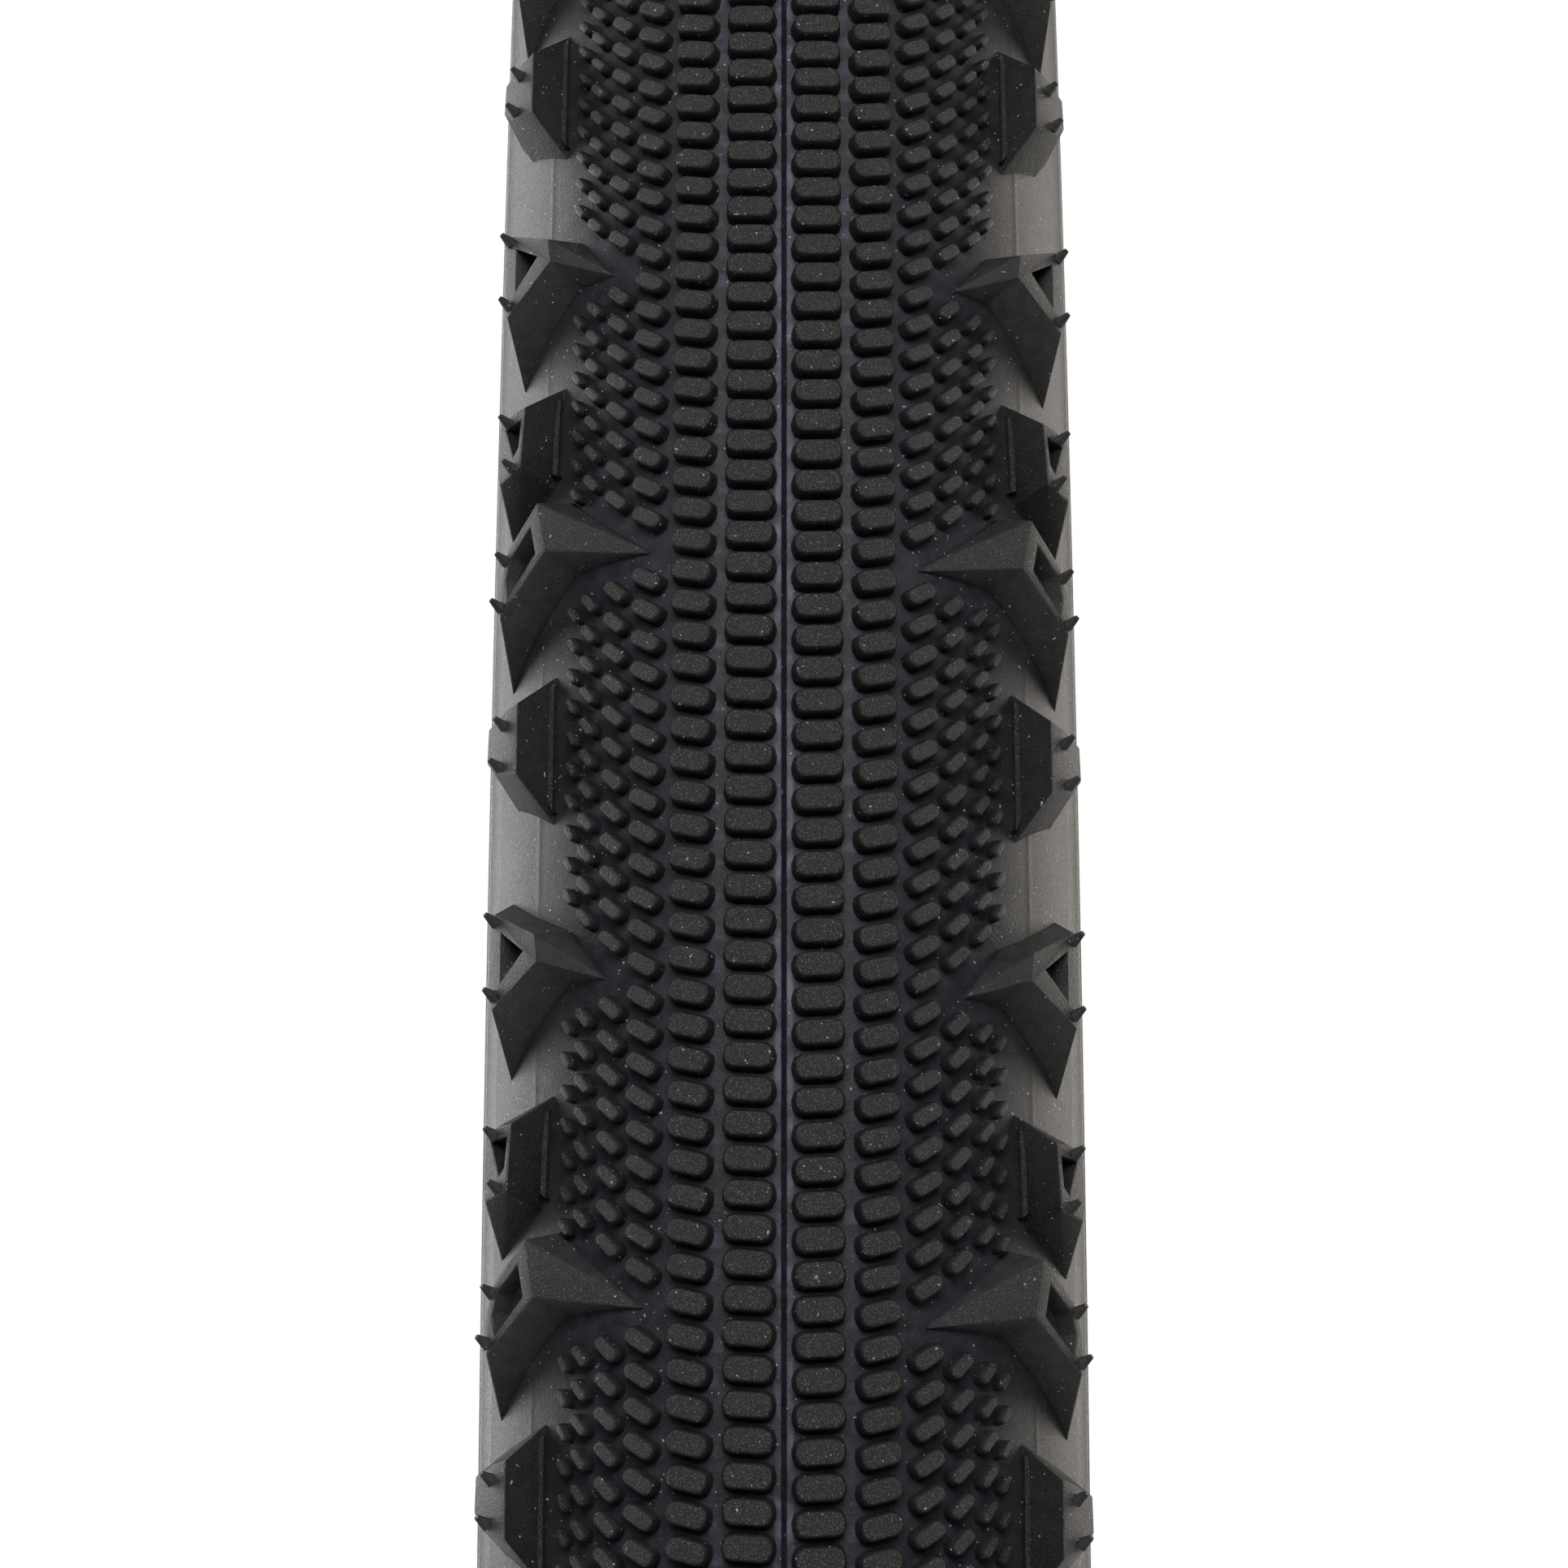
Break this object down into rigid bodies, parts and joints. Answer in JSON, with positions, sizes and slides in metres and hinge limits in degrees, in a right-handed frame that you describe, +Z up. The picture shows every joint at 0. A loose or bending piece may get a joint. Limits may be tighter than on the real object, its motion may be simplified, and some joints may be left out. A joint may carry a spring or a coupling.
{
  "type": "bicycle tire",
  "caption": "Wired-on bicycle tire, 700 x 35C, with a fine file tread down the middle and wedge-shaped shoulder knobs.",
  "frame": {"origin": "the wheel's centre: on the axle line, midway between the two beads", "axes": "+Y along the axle, +Z up and +X across the wheel's plane; the tire stands upright in the XZ plane"},
  "size_m": [0.6948, 0.035, 0.6947],
  "materials": {
    "tread_rubber": "matte moulded tread rubber with a faint bloom",
    "sidewall_rubber": "smooth satin sidewall rubber",
    "casing_fabric": "rubber-coated nylon cord",
    "breaker_fabric": "woven puncture breaker",
    "chafer_fabric": "rubberised woven strip",
    "bead_rubber": "hard rubber filler",
    "bead_steel": "coated steel wire",
    "liner_rubber": "smooth thin butyl rubber"
  },
  "bodies": {
    "root": {"bead_filler_left": "bead_rubber", "bead_filler_right": "bead_rubber", "bead_wire_left": "bead_steel", "bead_wire_right": "bead_steel", "breaker_belt": "breaker_fabric", "casing_ply_inner": "casing_fabric", "casing_ply_outer": "casing_fabric", "chafer_left": "chafer_fabric", "chafer_right": "chafer_fabric", "flat_knobs_left": "tread_rubber", "flat_knobs_right": "tread_rubber", "inner_liner": "liner_rubber", "knurl_row_fifth_left": "tread_rubber", "knurl_row_fifth_right": "tread_rubber", "knurl_row_first_left": "tread_rubber", "knurl_row_first_right": "tread_rubber", "knurl_row_fourth_left": "tread_rubber", "knurl_row_fourth_right": "tread_rubber", "knurl_row_second_left": "tread_rubber", "knurl_row_second_right": "tread_rubber", "knurl_row_sixth_left": "tread_rubber", "knurl_row_sixth_right": "tread_rubber", "knurl_row_third_left": "tread_rubber", "knurl_row_third_right": "tread_rubber", "long_wedge_knobs_left": "tread_rubber", "long_wedge_knobs_right": "tread_rubber", "pitted_knobs_left": "tread_rubber", "pitted_knobs_right": "tread_rubber", "short_wedge_knobs_left": "tread_rubber", "short_wedge_knobs_right": "tread_rubber", "sidewall_left": "sidewall_rubber", "sidewall_right": "sidewall_rubber", "tread_base": "tread_rubber", "vent_nubs_left": "tread_rubber", "vent_nubs_right": "tread_rubber"}
  },
  "joints": []
}
